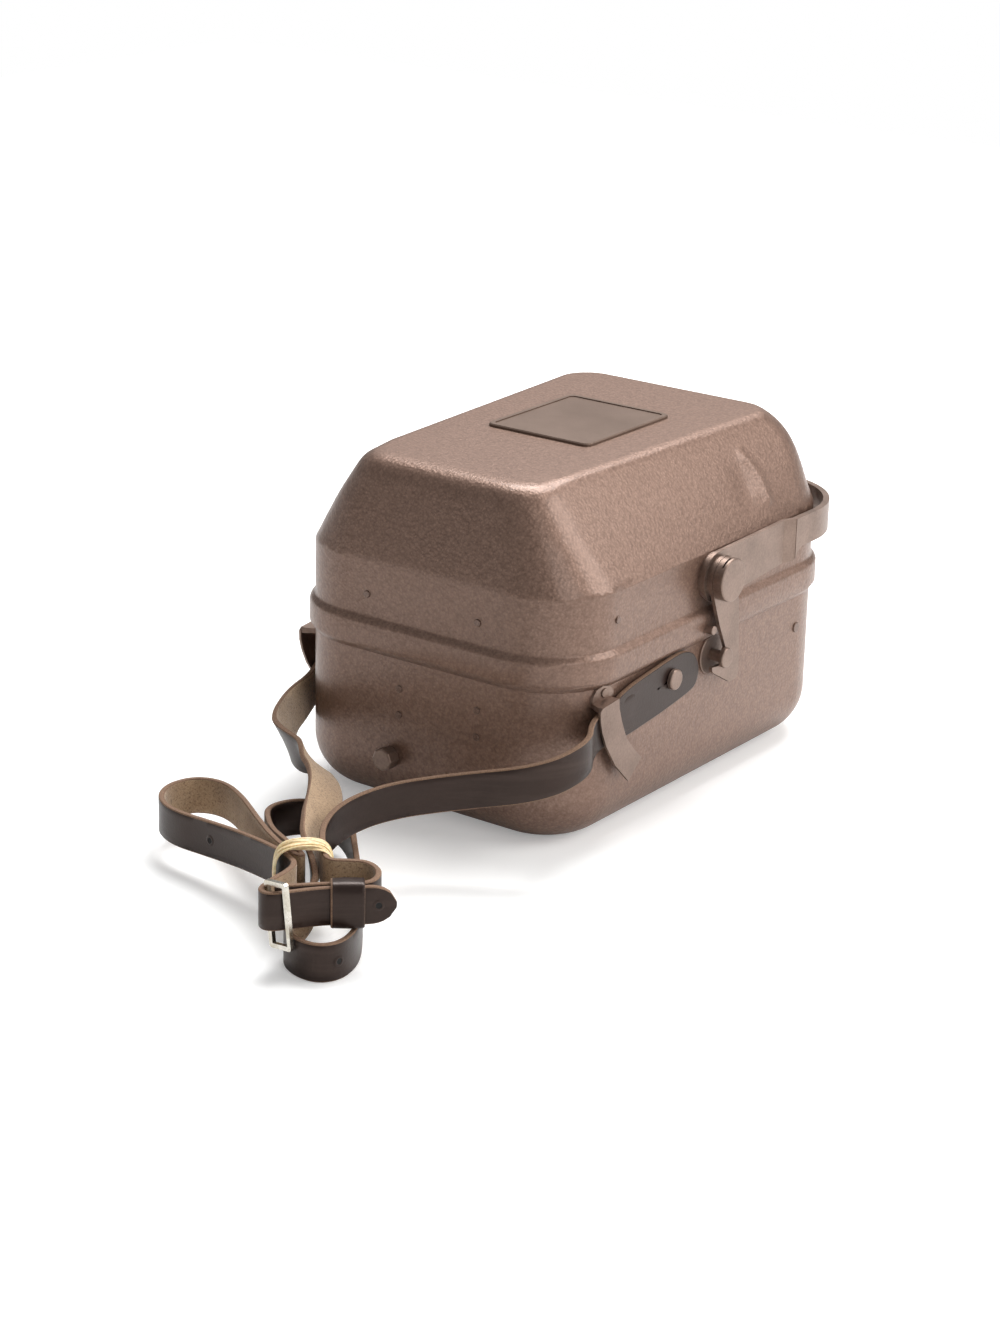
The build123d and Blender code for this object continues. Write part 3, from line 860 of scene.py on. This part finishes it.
# From the pressed lip inwards: radius and height over the grain, in mm. The last rings are painted
# dark as the shade inside the hole.
HOLE_PROFILE = ((2.5, 0.02), (2.1, 0.14), (1.7, 0.26), (1.35, 0.2), (1.2, 0.06), (0.5, 0.04))
LIP_RINGS = 3


def punched(name, line, places, side):
    """Punched holes with a pressed lip on the strap's grain face, at lengths in mm along it, each
    closed by a near-black disc of painted shade.
    """
    lengths = lengths_along(line)
    bm = bmesh.new()
    for place in places:
        nearest = min(range(len(line)), key=lambda k: abs(lengths[k] - place * MM))
        i = max(1, min(len(line) - 2, nearest))
        along = (line[i + 1] - line[i - 1]).normalized()
        lift = upright(along)
        out = lift.cross(along) * side
        base = line[i] + out * STRAP_THICK / 2
        rings = []
        for radius, height in HOLE_PROFILE:
            ring = []
            for k in range(HOLE_SIDES):
                a = math.tau * k / HOLE_SIDES
                spoke = along * math.cos(a) + lift * math.sin(a)
                ring.append(bm.verts.new(base + spoke * radius * MM + out * height * MM))
            rings.append(ring)
        for n, (first, second) in enumerate(zip(rings, rings[1:])):
            for face in skin(bm, first, second):
                # Inside the lip: the hole's near-black painted shade.
                face.material_index = 1 if n >= LIP_RINGS else 0
        bm.faces.new(rings[-1]).material_index = 1
    bmesh.ops.recalc_face_normals(bm, faces=bm.faces)
    return mesh_object(name, bm, [GRAIN, HOLE_SHADE])


holes = punched("strap_holes", left_line, HOLE_PLACES, -1)
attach(holes, "case")


# ---- lid ----

LID_MIDDLE = Vector((0, 0, 0.1))
WELD = 2e-6
SHARP_ANGLE = math.radians(65)

# The crest over the lid's front slope is softened from CREST_BACK forwards and CREST_FOOT up,
# fully so after the two runs. CREST_RINGS are radii and numbers of the points averaged.
CREST_LOW, CREST_HIGH = (-0.070, -0.112, 0.146), (0.070, -0.078, 0.1634)
CREST_CUTS = (12, 15, 8)
CREST_BACK, CREST_BACK_RUN = -0.074, 0.012
CREST_FOOT, CREST_FOOT_RUN = 0.140, 0.010
CREST_RINGS = ((0.003, 8), (0.006, 12))
CREST_GAIN = 1.3
CREST_WELD = 0.0004

# On the right slope, in mm of y and z: a curved ridge from its top to its foot, and a dip
# behind it.
SLOPE_LOW, SLOPE_HIGH = (0.045, 0.012, 0.118), (0.085, 0.074, 0.158)
SLOPE_CUTS = (0, 28, 18)
RIDGE_TOP, RIDGE_FOOT = Vector((45.5, 150.0)), Vector((53.5, 129.0))
RIDGE_BOW = Vector((2.0, 1.0))
RIDGE_WIDTH, RIDGE_HEIGHT = 2.4, 0.85
DIP_MIDDLE, DIP_WIDTH = (39.0, 138.0), (8.0, 9.0)
DIP_DEPTH = 0.9


def gridded(bm, low, high, steps):
    """Cut the faces that reach into the box by evenly spaced planes, so they can be shaped."""

    def reaches_in(face):
        return all(
            max(v.co[i] for v in face.verts) > low[i] and min(v.co[i] for v in face.verts) < high[i]
            for i in range(3)
        )

    for axis in range(3):
        normal = Vector((axis == 0, axis == 1, axis == 2))
        for k in range(steps[axis]):
            faces = [f for f in bm.faces if reaches_in(f)]
            edges = list({e for f in faces for e in f.edges})
            verts = list({v for f in faces for v in f.verts})
            value = low[axis] + (high[axis] - low[axis]) * k / (steps[axis] - 1)
            bmesh.ops.bisect_plane(
                bm, geom=verts + edges + faces, plane_co=normal * value, plane_no=normal, dist=1e-7
            )


def faces_out(place, normal):
    """Whether a place on the lid is on its outer skin."""
    return (place - LID_MIDDLE).dot(normal) > 0


def skin_trees(bm):
    """A search tree of the lid's outer skin, under True, and of its inner one, under False."""
    trees = {}
    for outer in (True, False):
        faces = [f for f in bm.faces if faces_out(f.calc_center_median(), f.normal) == outer]
        index = {v: i for i, v in enumerate(dict.fromkeys(v for f in faces for v in f.verts))}
        corners = [[index[v] for v in f.verts] for f in faces]
        trees[outer] = BVHTree.FromPolygons([v.co for v in index], corners)
    return trees


def soften_crest(bm):
    """Move the points of the crest towards the average of the skin around each of them."""
    trees = skin_trees(bm)
    gridded(bm, CREST_LOW, CREST_HIGH, CREST_CUTS)
    bm.normal_update()
    places = {}
    for v in bm.verts:
        weight = unit((CREST_BACK - v.co.y) / CREST_BACK_RUN)
        weight *= unit((v.co.z - CREST_FOOT) / CREST_FOOT_RUN)
        if weight <= 0:
            continue
        tree = trees[faces_out(v.co, v.normal)]
        u = v.normal.orthogonal().normalized()
        w = v.normal.cross(u)
        total, count = v.co.copy(), 1
        for radius, around in CREST_RINGS:
            for k in range(around):
                a = math.tau * k / around
                total += tree.find_nearest(v.co + (u * math.cos(a) + w * math.sin(a)) * radius)[0]
                count += 1
        shift = total / count - v.co
        places[v] = v.co + v.normal * shift.dot(v.normal) * weight * CREST_GAIN
    for v, place in places.items():
        v.co = place
    bmesh.ops.remove_doubles(bm, verts=list(places), dist=CREST_WELD)


def dent_slope(bm):
    """Raise the ridge and press the dip into the outer skin of the lid's right slope."""
    gridded(bm, SLOPE_LOW, SLOPE_HIGH, SLOPE_CUTS)
    bm.normal_update()
    fall = RIDGE_FOOT - RIDGE_TOP
    moves = {}
    for v in bm.verts:
        if v.co.x < SLOPE_LOW[0] or v.normal.x < 0.2:
            continue
        p = Vector((v.co.y, v.co.z)) * 1000
        t = max(0.0, min(1.0, (p - RIDGE_TOP).dot(fall) / fall.length_squared))
        near = RIDGE_TOP + fall * t + RIDGE_BOW * math.sin(math.pi * t)
        ridge = math.exp(-(((p - near).length / RIDGE_WIDTH) ** 2)) * RIDGE_HEIGHT
        back = (p.x - DIP_MIDDLE[0]) / DIP_WIDTH[0]
        rise = (p.y - DIP_MIDDLE[1]) / DIP_WIDTH[1]
        amount = ridge - math.exp(-(back**2 + rise**2)) * DIP_DEPTH
        if abs(amount) > 0.002:
            moves[v] = v.normal * amount * MM
    for v, move in moves.items():
        v.co += move


def dented_lid():
    """A copy of the lid with a softer front crest, and the ridge and dip on its right slope."""
    bm = bmesh.new()
    bm.from_mesh(nodes["lid_shell"].data)
    bmesh.ops.remove_doubles(bm, verts=bm.verts, dist=WELD)
    soften_crest(bm)
    dent_slope(bm)
    bmesh.ops.dissolve_degenerate(bm, dist=1e-5, edges=bm.edges)
    obj = mesh_object("lid_with_dent", bm, [ENAMEL], SHARP_ANGLE)
    even = obj.modifiers.new("even_normals", "WEIGHTED_NORMAL")
    even.keep_sharp = True
    even.weight = 90
    return obj


lid = dented_lid()
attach(lid, "lid")
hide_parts("lid_shell")


# ---- floor ----

FLOOR_HALF = 1.6
GLOW_START, GLOW_END = 0.45, 1.2
GLOW_NEAR, GLOW_FAR = 0.26, 1.0


def white_floor():
    """A pale floor that the camera sees fade to pure white away from the case."""
    s = Shader("floor")
    s.set(Roughness=0.9, Base_Color=(0.86, 0.86, 0.855, 1))
    distance = s.node("VectorMath", operation="LENGTH")
    s.wire(s.coord, distance.inputs[0])
    limits = {"From Min": GLOW_START, "From Max": GLOW_END, "To Min": GLOW_NEAR, "To Max": GLOW_FAR}
    rise = s.node("MapRange", **limits)
    s.wire(distance.outputs["Value"], rise.inputs["Value"])
    seen = s.node("LightPath").outputs["Is Camera Ray"]
    glow = s.node("Emission", Color=WHITE)
    s.wire(s.times(seen, rise.outputs[0]), glow.inputs["Strength"])
    both = s.node("AddShader")
    s.wire(s.bsdf.outputs[0], both.inputs[0])
    s.wire(glow.outputs[0], both.inputs[1])
    s.wire(both.outputs[0], s.tree.nodes["Material Output"].inputs[0])
    return s.mat


floor_mesh = bmesh.new()
bmesh.ops.create_grid(floor_mesh, x_segments=4, y_segments=4, size=FLOOR_HALF)
floor = mesh_object("floor", floor_mesh, [white_floor()])
